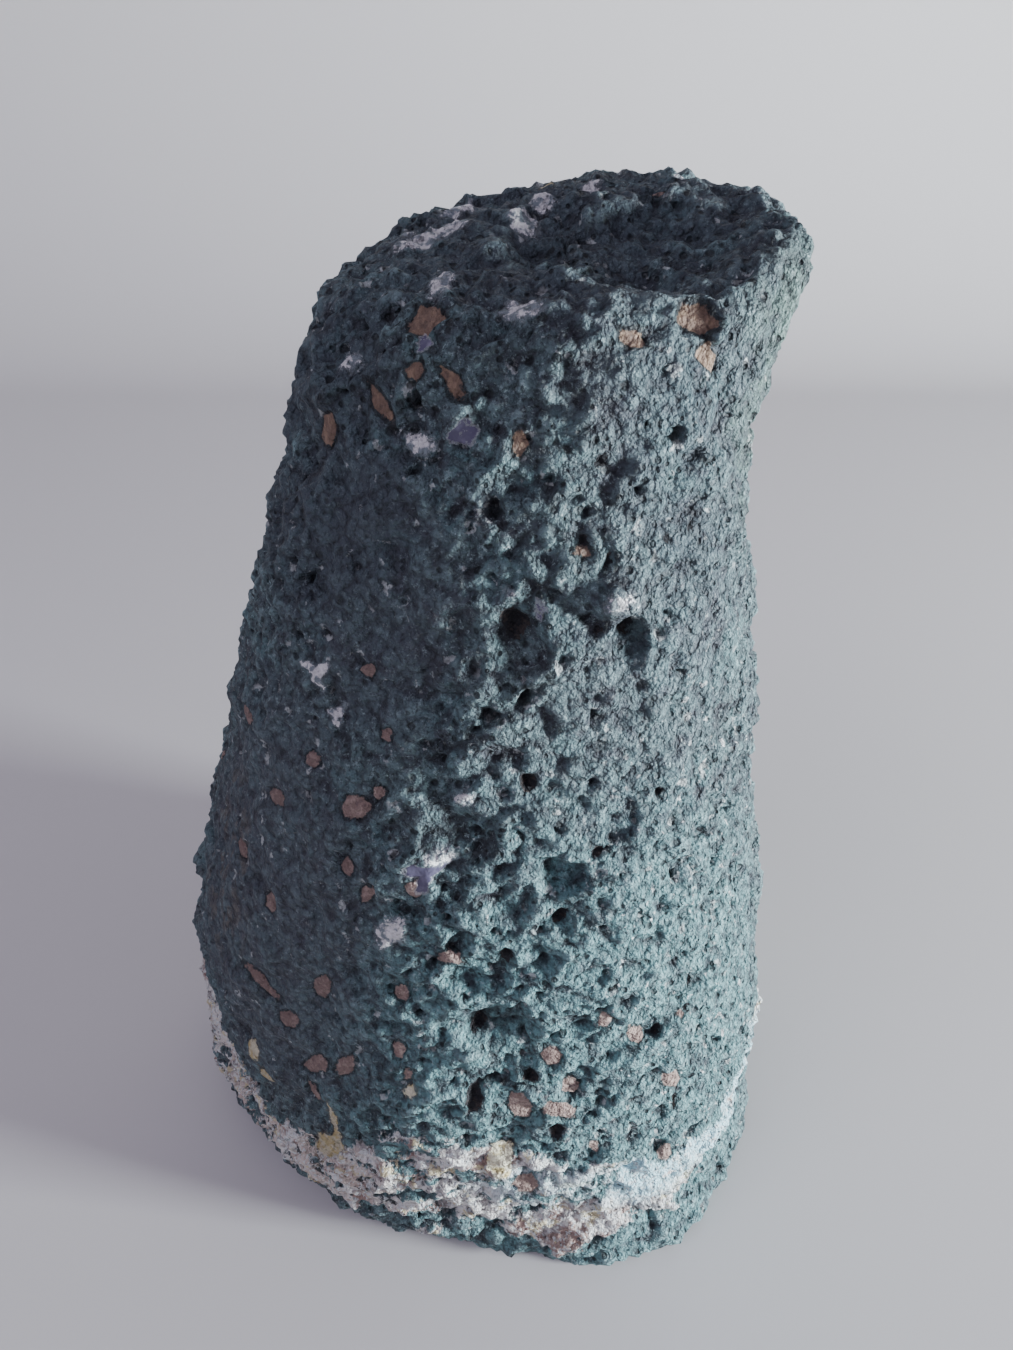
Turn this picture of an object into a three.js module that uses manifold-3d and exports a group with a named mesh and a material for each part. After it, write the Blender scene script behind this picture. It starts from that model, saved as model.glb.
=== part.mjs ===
// A tall "cathedral" amethyst geode: one closed lump of vesicular basalt rind that stands on a
// flat sawn foot, wide at the foot, narrow at the crown and leaning a little to the right.
// Frame: millimetres, +Z up, -Y is the front. The origin is under the middle of its box.

import * as THREE from 'three';
import { SimplexNoise } from 'three/addons/math/SimplexNoise.js';
import { mergeVertices } from 'three/addons/utils/BufferGeometryUtils.js';
import Module from 'manifold-3d';

const { seededRandom, smoothstep, lerp, degToRad } = THREE.MathUtils;
const UP = new THREE.Vector3(0, 0, 1);

// ---------------------------------------------------------------- driving dimensions

// Cross-sections from below the foot to the middle of the crown. Each gives the height of the
// section, the place of its middle, and half of its width (X) and of its depth (Y).
const SECTIONS = [
  { z: -8, midX: 6, midY: 0, halfX: 0, halfY: 0 },
  { z: -6, midX: 6, midY: 0, halfX: 66, halfY: 60 },
  { z: 0, midX: 5, midY: 0, halfX: 83, halfY: 72 },
  { z: 12, midX: 1, midY: 0, halfX: 87, halfY: 75 },
  { z: 40, midX: 0, midY: 0, halfX: 84, halfY: 75 },
  { z: 80, midX: 0, midY: 1, halfX: 80, halfY: 72 },
  { z: 120, midX: 2, midY: 1, halfX: 72, halfY: 66 },
  { z: 160, midX: 4, midY: 0, halfX: 62, halfY: 57 },
  { z: 200, midX: 7, midY: -1, halfX: 51, halfY: 48 },
  { z: 231, midX: 11, midY: -2, halfX: 46, halfY: 42 },
  { z: 245, midX: 16, midY: -2, halfX: 46, halfY: 37 },
  { z: 251, midX: 17, midY: -2, halfX: 36, halfY: 29 },
  { z: 253, midX: 17, midY: -2, halfX: 0, halfY: 0 },
];

// Section outline: a slightly squared oval pulled out into three blunt corners, one of them
// turned to the front right, which leaves a flat face at the front left and one at the right.
const SQUARENESS = 2.2;
const CORNER_COUNT = 3;
const CORNER_TURN = degToRad(-62);
const CORNER_PULL_FOOT = 0.035;
const CORNER_PULL_CROWN = 0.035;

// The crown is not level: it climbs to the right and to the back, above the shoulder.
const CROWN_HEIGHT = 260;
const SHOULDER_FROM = 180;
const SHOULDER_TO = 240;
const CROWN_RISE_RIGHT = 0.11;
const CROWN_RISE_BACK = 0.21;

// Length of a facet's side, and how far each vertex strays from its even place, as a share of it.
const FACET = 5.4;
const FACET_STRAY = 0.24;
const STRAY_SEED = 28;

// Relief of the rind: broad swells, then ridges and furrows that climb to the right as the lava
// flowed, then knobs. Each has a wavelength and a height, from middle to top. The furrows are
// longer than they are wide, by their stretch, and turn round the body by their twist per mm.
const SWELL = { wavelength: 75, height: 2.2 };
const FURROW = { wavelength: 17, height: 2.4, stretch: 2.6, twist: degToRad(1.05) };
const KNOB = { wavelength: 12, height: 1.3 };
const NOISE_SEED = 911;

// Open gas bubbles: sharp pockets all over the rind, each one vertex deep.
const PIT_COUNT = 700;
const PIT_DEPTH = [1.0, 2.6];
const PIT_SPACING = 7.5;
const PIT_SEED = 4107;

// Named hollows and bosses: place, reach along X, Y and Z, and how far the rind is pushed in
// (negative) or out (positive) along its own normal.
const FORMS = [
  { name: 'crown dish', at: [40, -12, 253], reach: [22, 25, 20], push: -6 },
  { name: 'crown beak', at: [60, -12, 240], reach: [24, 32, 36], push: 5 },
  { name: 'crown slope', at: [-26, 8, 244], reach: [26, 36, 22], push: -1 },
  { name: 'left ledge', at: [-34, -22, 226], reach: [15, 18, 7], push: 3 },
  { name: 'ledge undercut', at: [-36, -26, 214], reach: [14, 18, 7], push: -3 },
  { name: 'chipped corner', at: [-8, -38, 222], reach: [9, 12, 7], push: -2.5 },
  { name: 'belly hollow', at: [4, -70, 52], reach: [12, 12, 9], push: -3 },
  { name: 'face hollow', at: [7, -58, 128], reach: [9, 12, 11], push: -2.5 },
  { name: 'rim hollow', at: [27, -54, 128], reach: [7, 12, 8], push: -2.5 },
  { name: 'right notch', at: [78, -14, 96], reach: [12, 12, 5], push: -2.5 },
  { name: 'foot lip', at: [40, -70, 4], reach: [34, 26, 14], push: 5 },
    { name: 'foot groove', at: [0, -76, 22], reach: [60, 24, 6], push: -1.8 },
  { name: 'back boss', at: [-20, 72, 96], reach: [34, 22, 40], push: 4 },
  { name: 'back hollow', at: [38, 62, 70], reach: [26, 24, 32], push: -5 },
  { name: 'left boss', at: [-82, 18, 58], reach: [20, 28, 26], push: 2.5 },
  { name: 'back ledge', at: [8, 44, 214], reach: [26, 20, 9], push: -3.5 },
];

// What the saw takes off under the foot, wider and deeper than anything there.
const SAW_CUT = { across: 300, deep: 40 };

const RIND_COLOUR = '#56695f';
const RIND_ROUGHNESS = 0.9;
const WELD = 1e-3;

// ---------------------------------------------------------------- body through the sections

const widths = SECTIONS.map((s) => new THREE.Vector3(s.halfX, s.halfY, s.z));
const middles = SECTIONS.map((s) => new THREE.Vector3(s.midX, s.midY, s.z));
const widthCurve = new THREE.CatmullRomCurve3(widths, false, 'catmullrom');
const middleCurve = new THREE.CatmullRomCurve3(middles, false, 'catmullrom');

// A cosine or sine, filled out so that the oval turns squarer.
function squared(value) {
  return Math.sign(value) * Math.abs(value) ** (2 / SQUARENESS);
}

// A point of the body. Run goes from 0, under the foot, to 1, the middle of the crown, and turn
// goes once round the outline.
function bodyPoint(run, turn) {
  const place = widthCurve.getUtoTmapping(run);
  const half = widthCurve.getPoint(place);
  const middle = middleCurve.getPoint(place);
  const pull = lerp(CORNER_PULL_FOOT, CORNER_PULL_CROWN, half.z / CROWN_HEIGHT);
  const corner = 1 + pull * Math.cos(CORNER_COUNT * (turn - CORNER_TURN));
  const fromMiddleX = half.x * corner * squared(Math.cos(turn));
  const fromMiddleY = half.y * corner * squared(Math.sin(turn));
  const rise = CROWN_RISE_RIGHT * fromMiddleX + CROWN_RISE_BACK * fromMiddleY;
  const lifted = half.z + rise * smoothstep(half.z, SHOULDER_FROM, SHOULDER_TO);
  return new THREE.Vector3(middle.x + fromMiddleX, middle.y + fromMiddleY, lifted);
}

// How many facets a ring takes at this run, so that their sides stay about FACET long.
function facetsRound(run) {
  const half = widthCurve.getPoint(widthCurve.getUtoTmapping(run));
  return Math.max(1, Math.round((Math.PI * (half.x + half.y)) / FACET));
}

// Vertices in rings up the body. Every second ring is turned by half a facet.
function ringsUpBody(vertices) {
  const ringGap = FACET * Math.sin(degToRad(60));
  const ringCount = Math.round(widthCurve.getLength() / ringGap);
  const rings = [];
  seededRandom(STRAY_SEED);
  for (let k = 0; k <= ringCount; k += 1) {
    const atPole = k === 0 || k === ringCount;
    const count = atPole ? 1 : facetsRound(k / ringCount);
    const shift = (k % 2) / 2;
    rings.push({ first: vertices.length / 3, count, shift });
    for (let i = 0; i < count; i += 1) {
      const strayRun = atPole ? 0 : (seededRandom() - 0.5) * FACET_STRAY;
      const strayTurn = (seededRandom() - 0.5) * FACET_STRAY;
      const turn = ((i + shift + strayTurn) / count) * 2 * Math.PI;
      vertices.push(...bodyPoint((k + strayRun) / ringCount, turn));
    }
  }
  return rings;
}

// Facets between two rings, stepping along whichever ring is behind.
function stitch(lower, upper, facets) {
  const lowerSteps = lower.count === 1 ? 0 : lower.count;
  const upperSteps = upper.count === 1 ? 0 : upper.count;
  let i = 0;
  let j = 0;
  while (i < lowerSteps || j < upperSteps) {
    const a = lower.first + (i % lower.count);
    const b = upper.first + (j % upper.count);
    const lowerTurn = (i + 0.5 + lower.shift) / lower.count;
    const upperTurn = (j + 0.5 + upper.shift) / upper.count;
    if (j >= upperSteps || (i < lowerSteps && lowerTurn <= upperTurn)) {
      i += 1;
      facets.push(a, lower.first + (i % lower.count), b);
    } else {
      j += 1;
      facets.push(a, upper.first + (j % upper.count), b);
    }
  }
}

function bodyGeometry() {
  const vertices = [];
  const facets = [];
  const rings = ringsUpBody(vertices);
  for (let k = 1; k < rings.length; k += 1) {
    stitch(rings[k - 1], rings[k], facets);
  }
  const geometry = new THREE.BufferGeometry();
  geometry.setAttribute('position', new THREE.Float32BufferAttribute(vertices, 3));
  geometry.setIndex(facets);
  return geometry;
}

// ---------------------------------------------------------------- relief of the rind

seededRandom(NOISE_SEED);
const noise = new SimplexNoise({ random: seededRandom });

function noiseAt(point, wavelength) {
  return noise.noise3d(point.x / wavelength, point.y / wavelength, point.z / wavelength);
}

// Ridged noise, long upwards and twisted round the body, so that its grain climbs to the right.
function furrowAt(point) {
  const twisted = point.clone().applyAxisAngle(UP, -point.z * FURROW.twist);
  twisted.z /= FURROW.stretch;
  return 0.5 - Math.abs(noiseAt(twisted, FURROW.wavelength));
}

// How deep inside a named form a point lies: 1 at its centre, 0 at its reach and beyond.
function formShare(point, form) {
  const x = (point.x - form.at[0]) / form.reach[0];
  const y = (point.y - form.at[1]) / form.reach[1];
  const z = (point.z - form.at[2]) / form.reach[2];
  const inside = Math.max(0, 1 - x * x - y * y - z * z);
  return inside * inside * (3 - 2 * inside);
}

function reliefAt(point) {
  let height = SWELL.height * noiseAt(point, SWELL.wavelength);
  height += KNOB.height * noiseAt(point, KNOB.wavelength);
  height += FURROW.height * furrowAt(point);
  for (const form of FORMS) {
    height += form.push * formShare(point, form);
  }
  return height;
}

// Moves every vertex along its normal by what heightOf gives for it.
function pushOut(geometry, heightOf) {
  geometry.computeVertexNormals();
  const position = geometry.attributes.position;
  const normals = geometry.attributes.normal;
  const point = new THREE.Vector3();
  const normal = new THREE.Vector3();
  for (let i = 0; i < position.count; i += 1) {
    point.fromBufferAttribute(position, i);
    normal.fromBufferAttribute(normals, i);
    point.addScaledVector(normal, heightOf(point));
    position.setXYZ(i, ...point);
  }
}

// Pits are vertices drawn at random and pushed in, none nearer to another than PIT_SPACING.
function openPits(geometry) {
  seededRandom(PIT_SEED);
  geometry.computeVertexNormals();
  const position = geometry.attributes.position;
  const normals = geometry.attributes.normal;
  const pits = [];
  while (pits.length < PIT_COUNT) {
    const index = Math.floor(seededRandom() * position.count);
    const centre = new THREE.Vector3().fromBufferAttribute(position, index);
    if (pits.every((pit) => pit.centre.distanceTo(centre) > PIT_SPACING)) {
      pits.push({ index, centre });
    }
  }
  const normal = new THREE.Vector3();
  for (const { index, centre } of pits) {
    normal.fromBufferAttribute(normals, index);
    const bottom = centre.clone().addScaledVector(normal, -lerp(...PIT_DEPTH, seededRandom()));
    position.setXYZ(index, ...bottom);
  }
}

// ---------------------------------------------------------------- the sawn foot

const wasm = await Module();
wasm.setup();

function toManifold(geometry) {
  const bare = new THREE.BufferGeometry();
  bare.setAttribute('position', geometry.attributes.position.clone());
  bare.setIndex(geometry.index);
  const welded = mergeVertices(bare, WELD);
  const vertProperties = new Float32Array(welded.attributes.position.array);
  const triVerts = new Uint32Array(welded.index.array);
  return new wasm.Manifold(new wasm.Mesh({ numProp: 3, vertProperties, triVerts }));
}

function toGeometry(manifold) {
  const mesh = manifold.getMesh();
  const geometry = new THREE.BufferGeometry();
  geometry.setAttribute('position', new THREE.BufferAttribute(mesh.vertProperties, 3));
  geometry.setIndex(new THREE.BufferAttribute(mesh.triVerts, 1));
  return geometry;
}

// Everything under the table plane is cut away, which leaves one flat face to stand on.
function sawFoot(geometry) {
  const cut = new THREE.BoxGeometry(SAW_CUT.across, SAW_CUT.across, SAW_CUT.deep);
  cut.translate(0, 0, -SAW_CUT.deep / 2);
  return toGeometry(toManifold(geometry).subtract(toManifold(cut)));
}

// ---------------------------------------------------------------- the geode

function geodeGeometry() {
  const geometry = bodyGeometry();
  pushOut(geometry, reliefAt);
  openPits(geometry);
  const sawn = sawFoot(geometry);
  sawn.computeBoundingBox();
  const box = sawn.boundingBox;
  const middle = box.getCenter(new THREE.Vector3());
  sawn.translate(-middle.x, -middle.y, -box.min.z);
  sawn.computeVertexNormals();
  return sawn;
}

const rind = new THREE.MeshStandardMaterial({
  color: RIND_COLOUR,
  roughness: RIND_ROUGHNESS,
  metalness: 0,
  flatShading: true,
});

const geode = new THREE.Mesh(geodeGeometry(), rind);
geode.name = 'geode';

const group = new THREE.Group();
group.name = 'amethyst_geode';
group.add(geode);

export default group;
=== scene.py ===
"""Looks of a tall cathedral geode: pitted basalt rind, minerals in its bubbles, crust at its foot.

Lengths are in millimetres where nothing else is said.
"""

import logging
import math
from collections.abc import Callable, Mapping, Sequence
from dataclasses import asdict, dataclass, field
from enum import Enum
from functools import partial
from typing import Any

import bpy
import numpy as np
from bpy.types import Material, Mesh, Node, NodeSocket, NodeTree, Object
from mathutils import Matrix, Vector
from mathutils.kdtree import KDTree


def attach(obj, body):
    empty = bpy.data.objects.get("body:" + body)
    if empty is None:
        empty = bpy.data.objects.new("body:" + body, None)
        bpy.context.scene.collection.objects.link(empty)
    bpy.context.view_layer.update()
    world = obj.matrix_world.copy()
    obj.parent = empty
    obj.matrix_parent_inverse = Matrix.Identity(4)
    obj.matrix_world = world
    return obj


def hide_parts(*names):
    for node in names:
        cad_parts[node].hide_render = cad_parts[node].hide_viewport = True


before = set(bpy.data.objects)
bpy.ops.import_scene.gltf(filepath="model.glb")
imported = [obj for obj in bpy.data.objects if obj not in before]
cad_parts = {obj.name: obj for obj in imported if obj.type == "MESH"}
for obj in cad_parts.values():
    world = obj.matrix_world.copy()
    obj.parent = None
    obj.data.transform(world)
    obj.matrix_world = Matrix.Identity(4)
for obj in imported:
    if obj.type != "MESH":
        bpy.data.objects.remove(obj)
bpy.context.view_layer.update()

MM = 0.001
SEED = 2307
UPWARD = (0.0, 0.0, 1.0)
# Where the camera stands.
EYE = (7.5, -195.0, 275.0)

# The kinds of node that recur.
MATH = "ShaderNodeMath"
VECTOR = "ShaderNodeVectorMath"
RANGE = "ShaderNodeMapRange"
NOISE = "ShaderNodeTexNoise"
CELLS = "ShaderNodeTexVoronoi"
MIX = "ShaderNodeMix"
FIELD = "ShaderNodeAttribute"
SMOOTH = {"interpolation_type": "SMOOTHSTEP"}

log = logging.getLogger("geode")


# ---- helpers


def linear(code: str) -> tuple[float, float, float, float]:
    """Turn an sRGB hex colour into the linear values that a shader takes.

    Args:
        code: A hash and six hex digits.

    Returns:
        Linear red, green and blue, and full alpha.
    """
    parts = [int(code[i:i + 2], 16) / 255 for i in (1, 3, 5)]
    return (*[c / 12.92 if c <= 0.04045 else ((c + 0.055) / 1.055) ** 2.4 for c in parts], 1.0)


def add(tree: NodeTree, kind: str, *feeds: Any,
        into: Mapping[str | int, Any] | None = None, **settings: Any) -> Node:
    """Add a node with its settings and links.

    Args:
        tree: The node tree it goes in.
        kind: The node's type name.
        *feeds: What its first inputs take, in order. Each is a value, a socket, or a node whose
            first enabled output is meant.
        into: What other inputs take, by name or number.
        **settings: Values for the node's own properties.

    Returns:
        The new node.
    """
    node = tree.nodes.new(kind)
    for name, value in settings.items():
        setattr(node, name, value)
    for key, value in (*enumerate(feeds), *(into or {}).items()):
        if isinstance(value, Node):
            value = next(output for output in value.outputs if output.enabled)
        if isinstance(value, NodeSocket):
            tree.links.new(value, node.inputs[key])
        else:
            node.inputs[key].default_value = value
    return node


def empty_material(name: str) -> tuple[Material, Callable[..., Node]]:
    """Make a material with an empty tree.

    Args:
        name: Its name.

    Returns:
        The material, and what adds a node to its tree.
    """
    material = bpy.data.materials.new(name)
    material.use_nodes = True
    material.node_tree.nodes.clear()
    return material, partial(add, material.node_tree)


def smoothstep(low: float, high: float, values: np.ndarray) -> np.ndarray:
    """Rise smoothly from 0 at low to 1 at high."""
    share = np.clip((values - low) / (high - low), 0.0, 1.0)
    return share * share * (3.0 - 2.0 * share)


def unit(vector: np.ndarray) -> np.ndarray:
    """Give a vector's direction, 1 long."""
    return vector / np.linalg.norm(vector)


def apply_modifiers(obj: Object) -> None:
    """Replace an object's mesh by its evaluated one and remove its modifiers.

    Args:
        obj: The object.
    """
    graph = bpy.context.evaluated_depsgraph_get()
    mesh = bpy.data.meshes.new_from_object(obj.evaluated_get(graph))
    obj.modifiers.clear()
    old = obj.data
    obj.data = mesh
    bpy.data.meshes.remove(old)


# ---- minerals in the rind


class Mineral(Enum):
    """What fills a bubble or shows on a broken place. The value names the mesh field."""

    AMYGDALE = "amygdale"
    CHIP = "chip"
    AGATE = "agate"
    QUARTZ = "quartz"
    OCHRE = "ochre"
    DIRT = "dirt"


# Outlines, as shares of a patch's half width. A burst bubble's filling is a star with a waist
# and points; a broken face has corners that are shifted by shares of a side; and a round patch
# has two ripples.
STAR_WAIST = 0.36
STAR_POINTS = 0.9
STAR_SHARPNESS = 1.8
CORNER_SHIFT = 0.2
CORNER_RADII = (0.9, 1.3)
RIPPLES = (0.08, 0.05)


@dataclass(frozen=True)
class Patch:
    """One mineral patch on the skin.

    Attributes:
        at: A point near its middle.
        wide: Width along the skin, level.
        tall: Height along the skin, or as the camera sees it on the walls that face the camera.
        lean: How far its long way is turned from level, anticlockwise, in degrees.
        corners: Corners of its outline; 0 is round.
        star: Whether the sides between the corners are hollow, as in a burst bubble's filling.
    """

    at: tuple[float, float, float]
    wide: float
    tall: float
    lean: float = 0.0
    corners: int = 0
    star: bool = False

    def rim(self, turn: np.ndarray) -> np.ndarray:
        """Give the outline's radius at each angle round the middle.

        Args:
            turn: The angles, in radians.

        Returns:
            Radii of about 1.
        """
        if self.star:
            points = 0.5 + 0.5 * np.cos(self.corners * turn)
            return STAR_WAIST + STAR_POINTS * points ** STAR_SHARPNESS
        if self.corners:
            return self.broken_rim(turn)
        slow, fast = RIPPLES
        return 1.0 + slow * np.sin(3 * turn + self.at[2]) + fast * np.sin(5 * turn + 1.3)

    def broken_rim(self, turn: np.ndarray) -> np.ndarray:
        """Give the radius of a broken face's straight-sided, uneven outline.

        Args:
            turn: Angles round its middle, in radians.

        Returns:
            The outline's radius at each angle, about 1, drawn with the place as the seed.
        """
        rng = np.random.default_rng([int(abs(c) * 10) for c in self.at])
        step = 2 * math.pi / self.corners
        shifts = rng.uniform(-CORNER_SHIFT, CORNER_SHIFT, self.corners)
        starts = step * (np.arange(self.corners) + shifts)
        radii = rng.uniform(*CORNER_RADII, self.corners)
        turned = np.mod(turn - starts[0], 2 * math.pi) + starts[0]
        side = np.clip(np.searchsorted(starts, turned, side="right") - 1, 0, None)
        following = (side + 1) % self.corners
        past = turned - starts[side]
        left = np.mod(starts[following] - starts[side], 2 * math.pi) - past
        here, there = radii[side], radii[following]
        return here * there * np.sin(past + left) / (here * np.sin(past) + there * np.sin(left))

    def distance(self, places: np.ndarray) -> np.ndarray:
        """Give each place's distance outside the outline, negative inside.

        Args:
            places: Rows of along and across from the middle.

        Returns:
            The distances.
        """
        half = np.array((self.wide / 2, self.tall / 2))
        along, across = (places / half).T
        return (np.hypot(along, across) - self.rim(np.arctan2(across, along))) * half.min()


# The patches that the front shows. Dirt and painted shade lie in the largest open bubbles.
FRONT_PATCHES: Mapping[Mineral, Sequence[Patch]] = {
    Mineral.AMYGDALE: (
        Patch((-21, -44, 176), 3.2, 2.8, 0, 6), Patch((-17, -49, 164), 3.0, 2.8),
        Patch((-34, -44, 153), 4.4, 3.6, 0, 6), Patch((-45, -41, 140), 6.0, 3.8, -20, 6),
        Patch((-25, -53, 147), 8.8, 5.2, -8, 6), Patch((-19, -54, 152), 3.0, 2.8),
        Patch((-27, -54, 132), 3.2, 4.0, 15), Patch((-23, -58, 127), 3.2, 3.4),
        Patch((-12, -61, 132), 4.0, 3.8), Patch((-49, -47, 112), 4.6, 5.0, 10, 6),
        Patch((-37, -57, 94), 5.4, 5.0), Patch((-16, -63, 101), 3.4, 3.6),
        Patch((18, -68, 84), 4.6, 4.4, 10, 6), Patch((23, -67, 72), 4.2, 4.0),
        Patch((10, -69, 67), 5.6, 5.4, 0, 6), Patch((21, -70, 64), 8.4, 4.2, 4, 6),
        Patch((38, -64, 87), 4.6, 4.0), Patch((30, -67, 95), 3.0, 3.2),
        Patch((49, -61, 89), 2.6, 2.4), Patch((49, -62, 65), 7.4, 3.8, 12, 6),
        Patch((13, -74, 35), 6.6, 4.8, 0, 6), Patch((50, -66, 37), 5.0, 4.4, 0, 6),
        Patch((30, -70, 49), 2.8, 3.0), Patch((-5, -66, 114), 7.0, 2.8, -12, 6),
        Patch((-33, -63, 71), 7.0, 4.2, 0, 6), Patch((-41, -60, 67), 8.0, 4.2, -8, 6),
        Patch((-54, -27, 153), 3.6, 5.0, 0, 6), Patch((-57, -36, 119), 4.0, 5.2, 12, 6),
        Patch((-55, -49, 86), 3.2, 16.0, 48, 6), Patch((-47, -54, 78), 6.4, 3.6, -20, 6),
        Patch((-42, -60, 57), 2.2, 6.0, 25, 6), Patch((-17, -64, 83), 3.2, 3.8),
        Patch((-15, -65, 77), 2.2, 2.4),
    ),
    Mineral.CHIP: (
        Patch((-7, -28, 241), 7.0, 7.6, 10, 5), Patch((-9, -32, 232), 4.4, 3.2, -8, 5),
        Patch((-2, -36, 231), 3.0, 7.6, 38, 4), Patch((-16, -31, 226), 2.8, 8.2, 28, 4),
        Patch((-27, -25, 219), 5.6, 5.8, -12, 5), Patch((10, -43, 223), 3.2, 4.8, 0, 5),
        Patch((40, -35, 243), 7.0, 6.8, -25, 5), Patch((43, -37, 235), 5.2, 5.0, 8, 4),
        Patch((29, -38, 239), 5.8, 3.2, -20, 5), Patch((21, -48, 204), 3.4, 2.2, 0, 5),
    ),
    Mineral.AGATE: (
        Patch((-7, -32, 237), 3.2, 4.0, 0, 3), Patch((0, -39, 223), 5.6, 4.2, 10, 4),
        Patch((-9, -60, 136), 9.4, 6.2, 24, 3, True), Patch((13, -50, 193), 2.8, 4.6, 0, 3),
    ),
    Mineral.QUARTZ: (
        Patch((-4, -20, 245), 4.2, 9.0, -8, 5), Patch((-10, 1, 249), 9.0, 6.4, 25, 5),
        Patch((-4, 5, 250), 8.4, 5.0, -8, 4), Patch((-12, 7, 248), 5.4, 6.0, 40, 3),
        Patch((-2, 16, 253), 7.5, 7.5, 0, 5), Patch((11, 5, 252), 6.0, 6.4, 30, 6),
        Patch((15, 12, 252), 5.0, 4.0, -20, 5), Patch((10, -32, 243), 8.0, 5.4, -10, 5),
        Patch((-21, -23, 231), 4.6, 3.2, 0, 5), Patch((-8, -36, 220), 5.4, 4.2, 0, 5),
        Patch((-32, -39, 172), 7.6, 5.4, 150, 3, True),
        Patch((-28, -43, 165), 5.0, 4.0, 30, 3, True), Patch((-6, -59, 140), 6.8, 3.0, -6, 4),
        Patch((-18, -61, 118), 8.0, 5.6, 25, 5), Patch((28, -51, 195), 3.6, 1.8, 15),
        Patch((8, -48, 196), 3.2, 2.4, 0, 3), Patch((0, -57, 153), 3.4, 2.8, 0, 5),
        Patch((84, -10, 48), 4.0, 9.0, 0, 5),
    ),
    Mineral.OCHRE: (
        Patch((-16, -69, 72), 3.4, 2.8, 0, 5), Patch((6, -73, 46), 7.2, 7.6, -35, 5),
        Patch((-37, -65, 50), 2.6, 8.6, 8, 5), Patch((-61, -49, 57), 5.4, 6.0, 40, 5),
        Patch((-57, -52, 51), 4.0, 6.0, 40, 5), Patch((-39, -65, 40), 9.0, 5.0, -20, 5),
    ),
    Mineral.DIRT: (
        Patch((21, -47, 206), 2.4, 2.2), Patch((30, -48, 189), 3.8, 3.6, 30),
        Patch((26, -47, 202), 1.4, 3.6, -20), Patch((9, -50, 190), 5.2, 6.6, 15),
        Patch((39, -52, 151), 2.2, 2.4), Patch((12, -55, 157), 3.8, 3.8),
        Patch((24, -51, 190), 2.2, 2.4, 20), Patch((38, -43, 205), 2.0, 1.8),
        Patch((42, -40, 205), 2.4, 1.8, 30), Patch((24, -43, 219), 3.2, 2.0, 35),
        Patch((1, -69, 92), 4.0, 3.0, 15), Patch((0, -72, 71), 4.4, 7.0, -10),
        Patch((13, -70, 78), 4.0, 3.2), Patch((43, -63, 86), 2.6, 3.0),
        Patch((51, -60, 90), 2.6, 2.0), Patch((51, -62, 56), 2.0, 3.4),
        Patch((20, -72, 57), 4.2, 3.4, 20), Patch((19, -63, 126), 3.4, 2.6, 35),
        Patch((27, -59, 141), 3.4, 2.2, 35), Patch((51, -56, 96), 3.0, 2.4),
        Patch((7, -66, 116), 3.2, 3.0),
    ),
}


@dataclass(frozen=True)
class HiddenPatches:
    """How the minerals are strewn over the sides that the front does not show.

    Attributes:
        shares: How many patches of each mineral.
        smallest: Smallest width of a patch.
        largest: Largest width of a patch.
        tall: Least and greatest height, as shares of the width.
        lean: Most that a patch leans either way, in degrees.
        corners: Numbers of corners that are drawn from.
        behind: How far behind the middle of the stone they begin.
        sideways: How much nearer the front they begin toward the sides, as a share of the way.
        lowest: Height over which they lie.
        seed: Seed of the draw.
    """

    shares: Mapping[Mineral, int] = field(default_factory=lambda: {
        Mineral.AMYGDALE: 46,
        Mineral.CHIP: 7,
        Mineral.AGATE: 6,
        Mineral.QUARTZ: 15,
        Mineral.OCHRE: 4,
        Mineral.DIRT: 30,
    })
    smallest: float = 2.2
    largest: float = 6.0
    tall: tuple[float, float] = (0.6, 1.3)
    lean: float = 60.0
    corners: Sequence[int] = (0, 0, 4, 5)
    behind: float = 6.0
    sideways: float = 0.25
    lowest: float = 48.0
    seed: int = SEED + 1

    def strewn(self, points: np.ndarray) -> list[tuple[Mineral, Patch]]:
        """Draw patches on the back and the sides.

        Args:
            points: The skin's vertices.

        Returns:
            Each patch with its mineral, none on the front or on the crust.
        """
        rng = np.random.default_rng(self.seed)
        behind = points[:, 1] > self.behind - self.sideways * np.abs(points[:, 0])
        spots = points[behind & (points[:, 2] > self.lowest)]
        patches = []
        for mineral, count in self.shares.items():
            for _ in range(count):
                at = tuple(float(c) for c in spots[rng.integers(len(spots))])
                wide = self.smallest + (self.largest - self.smallest) * rng.random() ** 2
                tall = wide * rng.uniform(*self.tall)
                corners = int(rng.choice(self.corners))
                lean = rng.uniform(-self.lean, self.lean)
                patches.append((mineral, Patch(at, wide, tall, lean, corners)))
        return patches


# Where a patch's edge begins and is full, outside its outline.
PATCH_EDGE = (0.5, -0.2)
# The crack round a patch: its place outside the outline, and its width.
GROOVE_AT = 0.2
GROOVE_WIDTH = 0.5
# How far off a patch's plane a vertex may lie and still be worn to it.
SAME_FACE = 3.0
# The width from which a patch's bowl has its full depth, and where the bowl begins and is
# deepest, the second as a share of the width.
FULL_BOWL = 3.0
BOWL_EDGE = (0.6, -0.4)


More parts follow.
